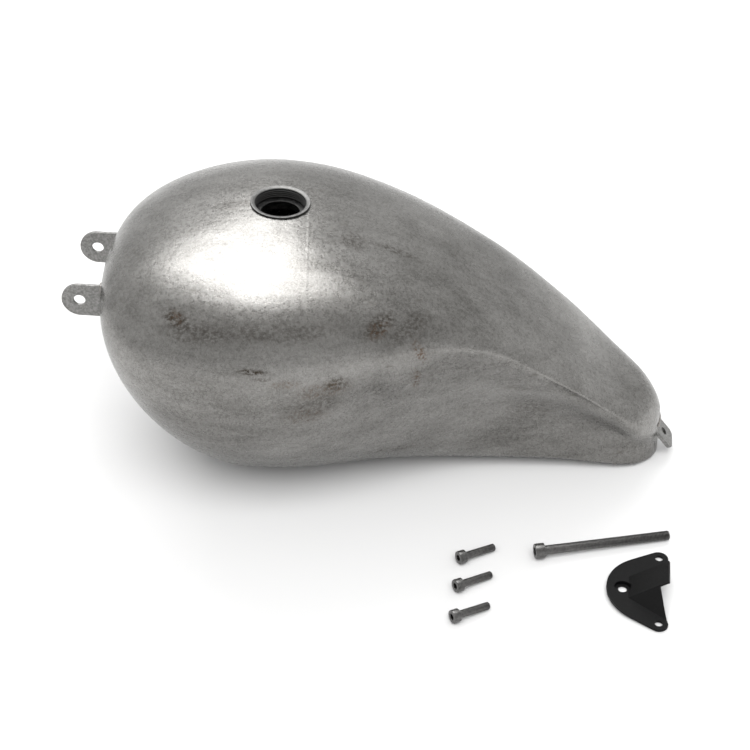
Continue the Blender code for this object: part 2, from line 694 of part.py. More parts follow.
def bracket_sheet():
    """Upper face of the folded bracket: base, two sloping webs and the raised arm."""
    front = (BRACKET_FRONT_RADIUS - BRACKET_LENGTH, 0)
    leg = (-BRACKET_LEG_RADIUS, BRACKET_LEG_SPACING / 2)
    touch = tangent_points(front, BRACKET_FRONT_RADIUS, leg, BRACKET_LEG_RADIUS)
    nose = arc(front, BRACKET_FRONT_RADIUS, touch, 360 - touch, 20)
    right_leg = arc(leg, BRACKET_LEG_RADIUS, 0, touch, 8)
    left_leg = [(x, -y) for x, y in right_leg[::-1]]
    foot = (-WEB_FOOT_BACK, WEB_FOOT_SPREAD)
    root = (-ARM_ROOT_BACK, ARM_WIDTH / 2)
    outline = right_leg + nose + left_leg + [(foot[0], -foot[1]), (root[0], -root[1]), root, foot]
    rise = math.tan(ARM_SLOPE)
    top = (-WEB_TOP_BACK, (ARM_ROOT_BACK - WEB_TOP_BACK) * rise)
    end = (ARM_OVERHANG, (ARM_ROOT_BACK + ARM_OVERHANG) * rise)
    points = [(x, y, 0) for x, y in outline]
    count = len(points)
    foot_left, root_left, root_right, foot_right = range(count - 4, count)
    for x, z in (top, end):
        points += [(x, -ARM_WIDTH / 2, z), (x, ARM_WIDTH / 2, z)]
    top_left, top_right, end_left, end_right = range(count, count + 4)
    faces = [
        tuple(range(count)),
        (foot_left, top_left, root_left),
        (foot_right, root_right, top_right),
        (root_left, top_left, top_right, root_right),
        (top_left, end_left, end_right, top_right),
    ]
    mesh = bpy.data.meshes.new("rear_bracket")
    mesh.from_pydata(points, [], faces)
    folded = bmesh.new()
    folded.from_mesh(mesh)
    bmesh.ops.triangulate(folded, faces=[face for face in folded.faces if len(face.verts) > 4])
    bmesh.ops.recalc_face_normals(folded, faces=folded.faces)
    if sum(face.normal.z * face.calc_area() for face in folded.faces) < 0:
        bmesh.ops.reverse_faces(folded, faces=folded.faces)
    folded.to_mesh(mesh)
    folded.free()
    obj = bpy.data.objects.new("rear_bracket", mesh)
    bpy.context.scene.collection.objects.link(obj)
    return obj


def build_bracket():
    """The bracket lies on the tips of its legs and on the boss under its main hole."""
    boss_x = -BRACKET_HOLE_BACK
    tilt = math.atan2(BRACKET_BOSS_DROP, BRACKET_HOLE_BACK - BRACKET_BOSS / 2)
    place = on_bench(*BRACKET_TIP)
    turn = (0, tilt, 0)
    lie = Matrix.Translation(place) @ Euler(turn).to_matrix().to_4x4()
    top = BRACKET_THICKNESS
    bracket = bracket_sheet()
    bracket.data.transform(Matrix.Translation((0, 0, top)))
    sheet = bracket.modifiers.new("sheet", "SOLIDIFY")
    sheet.thickness = BRACKET_THICKNESS
    sheet.offset = -1
    sheet.use_even_offset = True
    bracket.location = place
    bracket.rotation_euler = turn

    def tool(name, diameter, low, high, x, y):
        return as_cutter(rod(diameter, low, high, lie @ Vector((x, y, 0)), turn), name)

    boss = tool("bracket_boss", BRACKET_BOSS, -BRACKET_BOSS_DROP, top / 2, boss_x, 0)
    boolean(bracket, boss, "UNION")
    recess = top - BRACKET_COUNTERBORE_DEPTH
    boolean(bracket, tool("bracket_counterbore", BRACKET_COUNTERBORE, recess, PAST / 5, boss_x, 0))
    boolean(bracket, tool("bracket_main_hole", BRACKET_HOLE, -PAST, PAST / 5, boss_x, 0))
    for side, label in ((1, "right"), (-1, "left")):
        y = side * BRACKET_LEG_SPACING / 2
        name = f"bracket_{label}_leg_hole"
        boolean(bracket, tool(name, BRACKET_LEG_HOLE, -PAST / 2, PAST / 5, -BRACKET_LEG_RADIUS, y))
    return as_part(bracket, "rear_bracket", BLACK_COAT, 0.5, 0.0, smooth=False)


build_body()
build_tunnel()
build_filler()
build_front_ear(-1, "left_front_ear")
build_front_ear(1, "right_front_ear")
build_rear_ear()
build_baffle("front_baffle", FRONT_BAFFLE_X)
build_baffle("rear_baffle", REAR_BAFFLE_X)
build_outlet()
build_crossover(-1, "left_crossover_nipple")
build_crossover(1, "right_crossover_nipple")
build_vent()
for screw_name, screw_size, screw_place, screw_heading in SCREWS:
    build_screw(screw_name, screw_size, screw_place, screw_heading)
build_bracket()
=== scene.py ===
import math

import bmesh
import bpy
import numpy as np
from mathutils import Euler, Matrix, Vector


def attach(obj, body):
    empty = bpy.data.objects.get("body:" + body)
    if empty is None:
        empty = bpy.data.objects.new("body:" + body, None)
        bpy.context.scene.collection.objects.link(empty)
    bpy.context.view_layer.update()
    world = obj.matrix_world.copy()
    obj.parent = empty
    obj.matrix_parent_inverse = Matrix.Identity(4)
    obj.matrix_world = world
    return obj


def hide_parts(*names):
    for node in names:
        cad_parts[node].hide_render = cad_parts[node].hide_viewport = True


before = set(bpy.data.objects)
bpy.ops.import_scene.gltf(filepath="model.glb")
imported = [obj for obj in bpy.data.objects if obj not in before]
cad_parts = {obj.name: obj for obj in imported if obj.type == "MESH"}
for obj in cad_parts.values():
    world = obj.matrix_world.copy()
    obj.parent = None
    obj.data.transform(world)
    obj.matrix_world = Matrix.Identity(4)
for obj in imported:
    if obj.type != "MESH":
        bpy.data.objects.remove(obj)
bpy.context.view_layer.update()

# The frame's origin is under the tunnel roof, this far back from the nose and above the bench.
NOSE_TO_ORIGIN = 0.200
BENCH = -0.0734

# Body of the tank, in metres from the nose and the bench, as the frame has it.
BODY_LENGTH = 0.590
HALF_WIDTH = 0.180
CROWN_HEIGHT = 0.286
SHEET = 0.0016
# Share of the length; heights of crown, waist and floor as shares of the crown's height; half widths
# of waist and floor, and the depth of the hollow under the waist, as shares of the half width
STATIONS = (
    (0.000, 1.000, 0.577, 0.0246, 1.000, 0.280, 0.000),
    (0.340, 1.000, 0.577, 0.0246, 1.000, 0.280, 0.000),
    (0.510, 0.912, 0.650, 0.0433, 0.800, 0.275, 0.010),
    (0.680, 0.738, 0.630, 0.0413, 0.547, 0.265, 0.070),
    (0.815, 0.532, 0.461, 0.0413, 0.434, 0.250, 0.100),
    (0.915, 0.347, 0.295, 0.0226, 0.341, 0.235, 0.080),
    (1.000, 0.253, 0.113, 0.0000, 0.252, 0.185, 0.020),
)
NOSE_HEIGHT = 0.7235
NOSE_SIDE = (0.310, 3.0)
NOSE_CROWN = (0.308, 1.72)
NOSE_FLOOR = (0.282, 1.8)
TAIL_ROUND = (0.060, 2.0)
TAIL_BROW = (0.050, 2.0)
TAIL_BROW_DROP = 0.022
CROWN_POWER = 2.333
FLANK_POWER = 1.88
FLOOR_SPLIT = 1.86
PAN_FRONT = 0.062
PAN_REAR = 0.045
TAIL_CORNER = 0.018
TUNNEL_HALF = 0.035
TUNNEL_ROOF = 0.075
TUNNEL_END = 0.057

# Filler neck
FILLER_X = 0.185
FILLER_HOLE = 0.0301
NECK_BORE = 0.02625
NECK_RIM = 0.03125
NECK_WALL = 0.0032
NECK_FOOT = -0.026
THREAD_STEP = 0.0022
SEAL_BORE = 0.0200

# Ears at the nose
EAR_SPACING = 0.100
EAR_HALF_HEIGHT = 0.019
EAR_REACH = 0.022
EAR_LEVEL = CROWN_HEIGHT - 0.100
EAR_HOLE = 0.00625
EAR_SHEET = 0.0032

# Weld under the rear ear
REAR_WELD_HALF = 0.0155
REAR_WELD_LEVEL = 0.0385

# Screws: thread diameter, length, head diameter, head height, key size, key depth, thread pitch
SHORT_SCREW = (0.008, 0.035, 0.0138, 0.008, 0.006, 0.004, 0.00125)
LONG_SCREW = (0.010, 0.133, 0.016, 0.010, 0.008, 0.005, 0.0015)


# ---------------------------------------------------------------- bench, camera and light

def add_camera(azimuth, pitch, aim, distance, lens):
    """Looks down at the aim point from the tank's left side."""
    turn = Euler((math.radians(90 - pitch), 0, math.radians(azimuth)))
    back = turn.to_matrix() @ Vector((0, 0, distance))
    bpy.ops.object.camera_add(location=Vector(aim) + back, rotation=turn)
    camera = bpy.context.object
    camera.name = "studio_camera"
    camera.data.lens = lens
    camera.data.sensor_width = 36
    bpy.context.scene.camera = camera


def add_softbox(name, towards, distance, aim, size, power, seen_in_metal):
    """A soft light facing the aim point: either the one the metal mirrors or one that fills the bench."""
    direction = Vector(towards).normalized()
    bpy.ops.object.light_add(type="AREA", location=Vector(aim) + direction * distance)
    light = bpy.context.object
    light.name = name
    light.rotation_euler = direction.to_track_quat("Z", "Y").to_euler()
    light.data.shape = "RECTANGLE"
    light.data.size, light.data.size_y = size
    light.data.energy = power
    light.visible_glossy = seen_in_metal
    light.visible_diffuse = not seen_in_metal
    return light


def add_bench():
    bpy.ops.mesh.primitive_plane_add(size=40, location=(0, 0, BENCH - 0.0006))
    bench = bpy.context.object
    bench.name = "pale_bench"
    material = new_material("pale_bench_paint")
    shader = material.node_tree.nodes["Principled BSDF"]
    shader.inputs["Base Color"].default_value = (0.62, 0.62, 0.62, 1)
    shader.inputs["Roughness"].default_value = 0.9
    shader.inputs["Specular IOR Level"].default_value = 0.1
    bench.data.materials.append(material)


def add_studio_air():
    """Soft surroundings: pale at the level, dimmer overhead on the near side."""
    world = bpy.data.worlds.new("studio_air")
    bpy.context.scene.world = world
    bpy.context.scene.view_settings.view_transform = "Standard"
    world.use_nodes = True
    tree = world.node_tree
    tree.nodes.clear()
    out = tree.nodes.new("ShaderNodeOutputWorld")
    sky = tree.nodes.new("ShaderNodeBackground")
    place = tree.nodes.new("ShaderNodeTexCoord")
    facing = tree.nodes.new("ShaderNodeVectorMath")
    facing.operation = "DOT_PRODUCT"
    facing.inputs[1].default_value = Vector((0.05, -0.45, 0.90)).normalized()
    shade = tree.nodes.new("ShaderNodeValToRGB")
    shade.color_ramp.interpolation = "B_SPLINE"
    shade.color_ramp.elements[0].position = 0.0
    shade.color_ramp.elements[0].color = (0.82, 0.82, 0.82, 1)
    shade.color_ramp.elements[1].position = 1.0
    shade.color_ramp.elements[1].color = (0.55, 0.545, 0.54, 1)
    middle = shade.color_ramp.elements.new(0.6)
    middle.color = (0.70, 0.70, 0.70, 1)
    tree.links.new(place.outputs["Generated"], facing.inputs[0])
    tree.links.new(facing.outputs["Value"], shade.inputs["Fac"])
    tree.links.new(shade.outputs["Color"], sky.inputs["Color"])
    sky.inputs["Strength"].default_value = 1.15
    tree.links.new(sky.outputs["Background"], out.inputs["Surface"])


# ---------------------------------------------------------------- materials

def new_material(name):
    material = bpy.data.materials.new(name)
    material.use_nodes = True
    return material


class Finish:
    """A material built up from named nodes, with the piece's own position as its pattern space."""

    def __init__(self, name, metallic):
        self.material = new_material(name)
        self.tree = self.material.node_tree
        self.shader = self.tree.nodes["Principled BSDF"]
        self.shader.inputs["Metallic"].default_value = metallic
        self.place = self.tree.nodes.new("ShaderNodeTexCoord").outputs["Object"]

    def link(self, start, end):
        self.tree.links.new(start, end)

    def stretched(self, scale, offset=(0, 0, 0)):
        node = self.tree.nodes.new("ShaderNodeMapping")
        node.inputs["Scale"].default_value = scale
        node.inputs["Location"].default_value = offset
        self.link(self.place, node.inputs["Vector"])
        return node.outputs["Vector"]

    def noise(self, scale, detail, rough, space=None):
        node = self.tree.nodes.new("ShaderNodeTexNoise")
        node.inputs["Scale"].default_value = scale
        node.inputs["Detail"].default_value = detail
        node.inputs["Roughness"].default_value = rough
        self.link(space or self.place, node.inputs["Vector"])
        return node.outputs["Fac"]

    def cells(self, scale):
        node = self.tree.nodes.new("ShaderNodeTexVoronoi")
        node.inputs["Scale"].default_value = scale
        self.link(self.place, node.inputs["Vector"])
        return node.outputs["Distance"]

    def range(self, value, low, high, bottom=0.0, top=1.0, smooth=True):
        node = self.tree.nodes.new("ShaderNodeMapRange")
        node.interpolation_type = "SMOOTHSTEP" if smooth else "LINEAR"
        for socket, number in zip(("From Min", "From Max", "To Min", "To Max"), (low, high, bottom, top)):
            node.inputs[socket].default_value = number
        self.link(value, node.inputs["Value"])
        return node.outputs["Result"]

    def spread(self, value, bottom=0.0, top=1.0):
        """A noise value, which mostly lies between 0.3 and 0.7, spread from bottom to top."""
        return self.range(value, 0.3, 0.7, bottom, top)

    def sum(self, a, b, operation="ADD"):
        node = self.tree.nodes.new("ShaderNodeMath")
        node.operation = operation
        for socket, value in zip(node.inputs, (a, b)):
            if isinstance(value, (int, float)):
                socket.default_value = value
            else:
                self.link(value, socket)
        return node.outputs["Value"]

    def blend(self, amount, under, over):
        node = self.tree.nodes.new("ShaderNodeMix")
        node.data_type = "RGBA"
        for socket, value in ((node.inputs[0], amount), (node.inputs[6], under), (node.inputs[7], over)):
            if isinstance(value, tuple):
                socket.default_value = (*value, 1)
            elif isinstance(value, (int, float)):
                socket.default_value = value
            else:
                self.link(value, socket)
        return node.outputs[2]

    def vector(self, operation, start, by=(0, 0, 0)):
        node = self.tree.nodes.new("ShaderNodeVectorMath")
        node.operation = operation
        node.inputs[1].default_value = by
        self.link(start, node.inputs[0])
        return node.outputs["Value" if operation == "LENGTH" else "Vector"]

    def near(self, spot, reach, turn):
        """1 at a spot, fading to 0 at the reach along X, Y and Z; turned about Y by an angle."""
        spin = self.tree.nodes.new("ShaderNodeVectorRotate")
        spin.rotation_type = "Y_AXIS"
        spin.inputs["Angle"].default_value = turn
        self.link(self.vector("SUBTRACT", self.place, spot), spin.inputs["Vector"])
        share = self.vector("DIVIDE", spin.outputs["Vector"], reach)
        return self.range(self.vector("LENGTH", share), 0.30, 1.0, 1.0, 0.0)

    def coordinate(self, axis):
        node = self.tree.nodes.new("ShaderNodeSeparateXYZ")
        self.link(self.place, node.inputs["Vector"])
        return node.outputs[axis]

    def bump(self, height, distance, strength, after=None):
        node = self.tree.nodes.new("ShaderNodeBump")
        node.inputs["Strength"].default_value = strength
        node.inputs["Distance"].default_value = distance
        self.link(height, node.inputs["Height"])
        if after is not None:
            self.link(after, node.inputs["Normal"])
        return node.outputs["Normal"]

    def finish(self, colour, roughness, normal):
        self.link(colour, self.shader.inputs["Base Color"])
        self.link(roughness, self.shader.inputs["Roughness"])
        self.link(normal, self.shader.inputs["Normal"])
        return self.material


# The crosswise ridge behind the filler: its place on the crown and its lean back with the width.
SEAM_X = 0.0145
SEAM_LEAN = 0.10
# Marks on the sheet: place, reach along X, Y and Z, turn about Y, strength
RUST_SPOTS = (
    ((0.140, -0.125, 0.124), (0.007, 0.03, 0.020), 0.45, 0.9),
    ((0.137, -0.126, 0.092), (0.006, 0.03, 0.018), 0.0, 0.8),
    ((0.099, -0.130, 0.152), (0.016, 0.03, 0.012), 0.2, 0.7),
    ((-0.101, -0.147, 0.163), (0.012, 0.03, 0.007), -0.1, 0.8),
    ((0.048, -0.166, 0.100), (0.040, 0.03, 0.014), 0.0, 0.5),
    ((0.030, -0.169, 0.070), (0.034, 0.03, 0.014), 0.0, 0.4),
    ((0.010, -0.178, 0.112), (0.022, 0.03, 0.006), 0.0, 0.5),
)
DARK_SPOTS = (
    ((-0.022, -0.178, 0.126), (0.021, 0.03, 0.0045), -0.05, 1.0),
    ((-0.012, -0.178, 0.118), (0.014, 0.03, 0.003), 0.0, 0.6),
    ((-0.036, 0.0, 0.212), (0.024, 0.003, 0.03), 0.0, 0.7),
    ((-0.060, -0.004, 0.210), (0.050, 0.010, 0.03), 0.0, 0.35),
    ((0.106, -0.034, 0.183), (0.045, 0.007, 0.03), 0.1, 0.6),
    ((0.064, -0.040, 0.195), (0.020, 0.020, 0.03), 0.0, 0.5),
    ((0.000, -0.156, 0.160), (0.150, 0.03, 0.012), 0.0, 0.42),
    ((0.099, -0.125, 0.155), (0.028, 0.03, 0.012), 0.35, 0.75),
    ((0.125, -0.115, 0.145), (0.055, 0.03, 0.014), 0.35, 0.55),
    ((-0.103, -0.146, 0.163), (0.024, 0.03, 0.009), -0.1, 0.85),
    ((-0.085, -0.160, 0.154), (0.050, 0.03, 0.012), 0.0, 0.45),
    ((0.060, -0.165, 0.106), (0.018, 0.03, 0.012), 0.0, 0.75),
    ((0.036, -0.170, 0.084), (0.050, 0.03, 0.020), 0.0, 0.40),
    ((0.108, -0.105, -0.018), (0.040, 0.03, 0.008), 0.0, 0.7),
    ((0.257, -0.063, 0.018), (0.040, 0.04, 0.022), 0.1, 0.35),
    ((0.045, 0.150, 0.120), (0.060, 0.03, 0.018), 0.2, 0.7),
    ((0.190, 0.095, 0.110), (0.040, 0.03, 0.016), 0.5, 0.6),
)


def sheet_steel():
    """Bare mild steel sheet: mottled, pulled lengthwise, with fine pits, dark stains and some rust."""
    steel = Finish("bare_sheet_steel", 1.0)
    along = steel.stretched((1.0, 4.0, 5.0))
    broad = steel.noise(7, 4, 0.6, steel.stretched((1.0, 1.5, 1.5)))
    streaks = steel.noise(12, 5, 0.6, along)
    mottle = steel.noise(260, 5, 0.7)
    grit = steel.noise(700, 3, 0.65)
    tone = steel.sum(steel.sum(steel.spread(broad, -0.08, 0.08),
                               steel.spread(streaks, -0.05, 0.05)),
                     steel.sum(steel.spread(mottle, -0.065, 0.065),
                               steel.spread(grit, -0.075, 0.075)))
    value = steel.range(tone, -0.25, 0.25, 0.0, 1.0, smooth=False)
    colour = steel.blend(value, (0.092, 0.089, 0.082), (0.345, 0.338, 0.326))
    # stains that follow the rolling direction
    stain = steel.noise(24, 8, 0.7, steel.stretched((1.0, 3.5, 4.5), (0.3, 0.1, 0.7)))
    stain = steel.range(stain, 0.58, 0.74)
    colour = steel.blend(steel.sum(stain, 0.45, "MULTIPLY"), colour, (0.075, 0.064, 0.048))
    # small dark pits
    pits = steel.range(steel.cells(260), 0.05, 0.20, 1.0, 0.0)
    pit_field = steel.noise(30, 3, 0.6, steel.stretched((1, 1, 1), (1.7, 0.4, 0.2)))
    pit_field = steel.range(pit_field, 0.52, 0.66)
    pits = steel.sum(pits, pit_field, "MULTIPLY")
    colour = steel.blend(steel.sum(pits, 0.62, "MULTIPLY"), colour, (0.030, 0.025, 0.019))
    ragged = steel.noise(240, 6, 0.75, steel.stretched((1.0, 1.4, 1.4), (0.5, 0.9, 0.1)))
    for spot, reach, turn, strength in DARK_SPOTS:
        mark = steel.sum(steel.near(spot, reach, turn), steel.range(ragged, 0.42, 0.58), "MULTIPLY")
        colour = steel.blend(steel.sum(mark, strength, "MULTIPLY"), colour, (0.036, 0.028, 0.019))
    rust_cells = steel.noise(330, 6, 0.8, steel.stretched((1, 1, 1), (0.2, 0.6, 0.4)))
    rust_cells = steel.range(rust_cells, 0.47, 0.58)
    for spot, reach, turn, strength in RUST_SPOTS:
        mark = steel.sum(steel.near(spot, reach, turn), rust_cells, "MULTIPLY")
        colour = steel.blend(steel.sum(mark, strength, "MULTIPLY"), colour, (0.095, 0.058, 0.034))
    roughness = steel.sum(steel.spread(mottle, 0.24, 0.34),
                          steel.sum(steel.sum(stain, 0.10, "MULTIPLY"), steel.sum(pits, 0.2, "MULTIPLY")))
    crinkle = steel.sum(steel.noise(150, 4, 0.6), steel.sum(mottle, 0.5, "MULTIPLY"))
    normal = steel.bump(crinkle, 0.0007, 0.40)
    normal = steel.bump(steel.noise(22, 2, 0.5), 0.003, 0.16, normal)
    # the ridge where the front and rear halves of each pressing meet
    lean = steel.sum(steel.sum(steel.coordinate("Y"), 0.0, "ABSOLUTE"), SEAM_LEAN, "MULTIPLY")
    off_seam = steel.sum(steel.sum(steel.coordinate("X"), lean, "SUBTRACT"), -SEAM_X)
    off_seam = steel.sum(off_seam, 0.0, "ABSOLUTE")
    ridge = steel.range(off_seam, 0.0002, 0.0018, 1.0, 0.0)
    ridge = steel.sum(ridge, steel.range(mottle, 0.35, 0.6), "MULTIPLY")
    normal = steel.bump(ridge, 0.0003, 0.28, normal)
    return steel.finish(colour, roughness, normal)


def plain_steel(name, dark, light, roughness, depth, scale):
    """Machined or cut steel with a little mottling and fine tool marks."""
    steel = Finish(name, 1.0)
    mottle = steel.noise(scale, 5, 0.65)
    grit = steel.noise(scale * 7, 3, 0.6)
    tone = steel.sum(steel.spread(mottle, 0.0, 0.7), steel.spread(grit, 0.0, 0.3))
    colour = steel.blend(tone, dark, light)
    rough = steel.spread(mottle, roughness - 0.05, roughness + 0.08)
    return steel.finish(colour, rough, steel.bump(grit, depth, 0.5))


def neck_finish_with_painted_shade():
    """Turned steel on the lip, with painted shade and a duller finish down inside the bore."""
    steel = Finish("turned_neck_painted_shade_steel", 1.0)
    mottle = steel.noise(300, 5, 0.65)
    colour = steel.blend(steel.spread(mottle), (0.125, 0.124, 0.121), (0.215, 0.213, 0.208))
    flat = steel.vector("MULTIPLY", steel.vector("SUBTRACT", steel.place, FILLER_PLACE), (1, 1, 0))
    from_axis = steel.vector("LENGTH", flat)
    # mask of the bore: it drives the painted shade in the colour below and a duller roughness
    inside = steel.range(from_axis, NECK_BORE - 0.00005, 0.0276, 1.0, 0.0)
    # painted shade: the colour goes dark down inside the bore
    colour = steel.blend(steel.sum(inside, 0.92, "MULTIPLY"), colour, (0.055, 0.055, 0.054))
    joint = steel.range(from_axis, 0.0309, 0.0312)
    colour = steel.blend(steel.sum(joint, 0.8, "MULTIPLY"), colour, (0.030, 0.029, 0.028))
    rough = steel.sum(steel.spread(mottle, 0.44, 0.54), steel.sum(inside, 0.12, "MULTIPLY"))
    return steel.finish(colour, rough, steel.bump(mottle, 0.0001, 0.4))


def powder_coat():
    """Satin black powder coat with its fine orange peel and a few rubbed spots."""
    coat = Finish("satin_black_coat", 0.0)
    peel = coat.noise(700, 3, 0.5)
    dust = coat.range(coat.noise(120, 5, 0.7), 0.55, 0.75)
    colour = coat.blend(coat.sum(dust, 0.5, "MULTIPLY"), (0.0024, 0.0024, 0.0025), (0.0065, 0.0065, 0.0065))
    rough = coat.spread(peel, 0.42, 0.54)
    coat.shader.inputs["Specular IOR Level"].default_value = 0.15
    return coat.finish(colour, rough, coat.bump(peel, 0.0004, 0.35))


# ---------------------------------------------------------------- shaping helpers

def start_clean():
    if bpy.context.object is not None and bpy.context.object.mode != "OBJECT":
        bpy.ops.object.mode_set(mode="OBJECT")
    bpy.ops.object.select_all(action="DESELECT")


def pick(piece):
    start_clean()
    piece.select_set(True)
    bpy.context.view_layer.objects.active = piece


def settle(piece):
    """Puts the piece's place, turn and size into its mesh."""
    pick(piece)
    bpy.ops.object.transform_apply(location=True, rotation=True, scale=True)


def smooth(piece, angle=35):
    pick(piece)
    bpy.ops.object.shade_smooth_by_angle(angle=math.radians(angle))


def apply_modifier(piece, kind, **settings):
    pick(piece)
    modifier = piece.modifiers.new(kind.lower(), kind)
    for name, value in settings.items():
        setattr(modifier, name, value)
    bpy.ops.object.modifier_apply(modifier=modifier.name)


def dress(piece, name, material, slot_name, body, *nodes):
    piece.name = name
    piece.data.name = name
    piece.data.materials.clear()
    piece.data.materials.append(material)
    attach(piece, body)
    if nodes:
        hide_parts(*nodes)
    return piece


def outward(piece):
    pick(piece)
    bpy.ops.object.mode_set(mode="EDIT")
    bpy.ops.mesh.select_all(action="SELECT")
    bpy.ops.mesh.normals_make_consistent(inside=False)
    bpy.ops.object.mode_set(mode="OBJECT")


def to_frame(x, y, z):
    return x - NOSE_TO_ORIGIN, y, z + BENCH


# ---------------------------------------------------------------- the body's form

def along_stations(column, x):
    """Smooth value of one column at each place along the length."""
    knots = np.array([station[0] for station in STATIONS]) * BODY_LENGTH
    values = np.array([station[column] for station in STATIONS])
    slopes = np.empty_like(values)
    slopes[1:-1] = (values[2:] - values[:-2]) / (knots[2:] - knots[:-2])
    slopes[0] = (values[1] - values[0]) / (knots[1] - knots[0])
    slopes[-1] = (values[-1] - values[-2]) / (knots[-1] - knots[-2])
    i = np.clip(np.searchsorted(knots, x, side="right") - 1, 0, len(knots) - 2)
    span = knots[i + 1] - knots[i]
    t = (x - knots[i]) / span
    return ((2 * t**3 - 3 * t**2 + 1) * values[i] + (t**3 - 2 * t**2 + t) * span * slopes[i]
            + (-2 * t**3 + 3 * t**2) * values[i + 1] + (t**3 - t**2) * span * slopes[i + 1])


def rounding(distance, length_and_power):
    length, power = length_and_power
    near = 1 - np.clip(distance / (length * BODY_LENGTH), 0, 1)
    return (1 - near**power) ** (1 / power)


def ease(t):
    t = np.clip(t, 0, 1)
    return t * t * (3 - 2 * t)


def body_point(x, turns):
    """Half width and height of the skin; turns run 0 at the crown, 1 at the waist, 2 at the floor."""
    crown, waist, floor = (along_stations(column, x) * CROWN_HEIGHT for column in (1, 2, 3))
    waist_y, floor_y, dish = (along_stations(column, x) * HALF_WIDTH for column in (4, 5, 6))
    nose = NOSE_HEIGHT * CROWN_HEIGHT
    side = rounding(x, NOSE_SIDE)
    tail = rounding(BODY_LENGTH - x, TAIL_ROUND)
    crown = nose + (crown - nose) * rounding(x, NOSE_CROWN)
    crown = crown - TAIL_BROW_DROP * (1 - rounding(BODY_LENGTH - x, TAIL_BROW))
    floor = nose + (floor - nose) * rounding(x, NOSE_FLOOR)
    waist = nose + (waist - nose) * side
    waist_y = waist_y * side * tail
    floor_y = floor_y * side * tail
    above = np.clip(turns, 0, 1) * math.pi / 2
    below = np.clip(turns - 1, 0, 1) * math.pi / 2
    share = np.clip(turns - 1, 0, 1)
    hollow = np.maximum(dish, 0) * tail * ease(share / 0.35) * (1 - ease((share - 0.3) / 0.7))
    upper_y = waist_y * np.abs(np.sin(above)) ** (2 / CROWN_POWER)
    upper_z = waist + (crown - waist) * np.abs(np.cos(above)) ** (2 / CROWN_POWER)
    lower_y = floor_y + (waist_y - floor_y) * np.abs(np.cos(below)) ** (2 / FLANK_POWER) - hollow
    lower_z = waist - (waist - floor) * np.abs(np.sin(below)) ** (2 / FLANK_POWER)
    return np.where(turns <= 1, upper_y, lower_y), np.where(turns <= 1, upper_z, lower_z)


def crown_height(x):
    return float(body_point(np.array([x]), np.array([0.0]))[1][0])


FILLER_PLACE = Vector(to_frame(FILLER_X, 0, crown_height(FILLER_X)))
FILLER_SLOPE = math.atan2(crown_height(FILLER_X + 0.02) - crown_height(FILLER_X - 0.02), 0.04)


# ---------------------------------------------------------------- the welded body

def fine_places(nose_rows, middle_rows, tail_rows):
    """Rows along the length, close together where the nose and the tail turn in."""
    nose_length = NOSE_SIDE[0] * BODY_LENGTH
    tail_length = TAIL_ROUND[0] * BODY_LENGTH
    nose_share = np.linspace(0, 0.86, nose_rows + 1)
    nose = nose_length * (1 - (1 - nose_share**NOSE_SIDE[1]) ** (1 / NOSE_SIDE[1]))
    tail_share = np.linspace(1, 0, tail_rows + 1)
    tail = BODY_LENGTH - tail_length * (1 - np.sqrt(1 - tail_share**2))
    middle = np.linspace(nose[-1], tail[0], middle_rows + 1)[1:-1]
    places = np.concatenate([nose, middle, tail])
    for seam in (PAN_FRONT, BODY_LENGTH - PAN_REAR):
        places[np.abs(places - seam).argmin()] = seam
    return places


def fine_turns(count):
    """Columns round the section, from under the left side over the crown to under the right side."""
    turns = np.linspace(-2, 2, count + 1)
    for seam in (-FLOOR_SPLIT, FLOOR_SPLIT):
        turns[np.abs(turns - seam).argmin()] = seam
    return turns


def raise_skin(name, low_x, high_x, low_turn, high_turn):
    """A grid bent to the body's form between two places and two turns."""
    places = fine_places(44, 120, 24)
    places = places[(places > low_x - 1e-6) & (places < high_x + 1e-6)]
    turns = fine_turns(240)
    turns = turns[(turns > low_turn - 1e-6) & (turns < high_turn + 1e-6)]
    start_clean()
    bpy.ops.mesh.primitive_grid_add(x_subdivisions=len(places) - 1, y_subdivisions=len(turns) - 1, size=2)
    sheet = bpy.context.object
    flat = np.empty(len(sheet.data.vertices) * 3)
    sheet.data.vertices.foreach_get("co", flat)
    flat = flat.reshape(-1, 3)
    row = np.rint((flat[:, 0] + 1) / 2 * (len(places) - 1)).astype(int)
    column = np.rint((flat[:, 1] + 1) / 2 * (len(turns) - 1)).astype(int)
    x = places[row]
    turn = turns[column]
    y, z = body_point(x, np.abs(turn))
    bent = np.stack([x - NOSE_TO_ORIGIN, np.sign(turn) * y, z + BENCH], axis=1)
    sheet.data.vertices.foreach_set("co", bent.ravel())
    sheet.data.update()
    sheet.name = name
    return sheet


def close_seams(sheet):
    pick(sheet)
    bpy.ops.object.mode_set(mode="EDIT")
    bpy.ops.mesh.select_all(action="SELECT")
    bpy.ops.mesh.remove_doubles(threshold=0.00002)
    bpy.ops.mesh.dissolve_degenerate(threshold=0.00001)
    bpy.ops.object.mode_set(mode="OBJECT")


def cut_faces(sheet, chosen):
    """Deletes the faces whose middle a test chooses."""
    pick(sheet)
    bpy.ops.object.mode_set(mode="EDIT")
    bpy.ops.mesh.select_mode(type="FACE")
    bpy.ops.mesh.select_all(action="DESELECT")
    cage = bmesh.from_edit_mesh(sheet.data)
    for face in cage.faces:
        face.select = bool(chosen(face.calc_center_median()))
    bmesh.update_edit_mesh(sheet.data)
    bpy.ops.mesh.delete(type="FACE")
    bpy.ops.object.mode_set(mode="OBJECT")


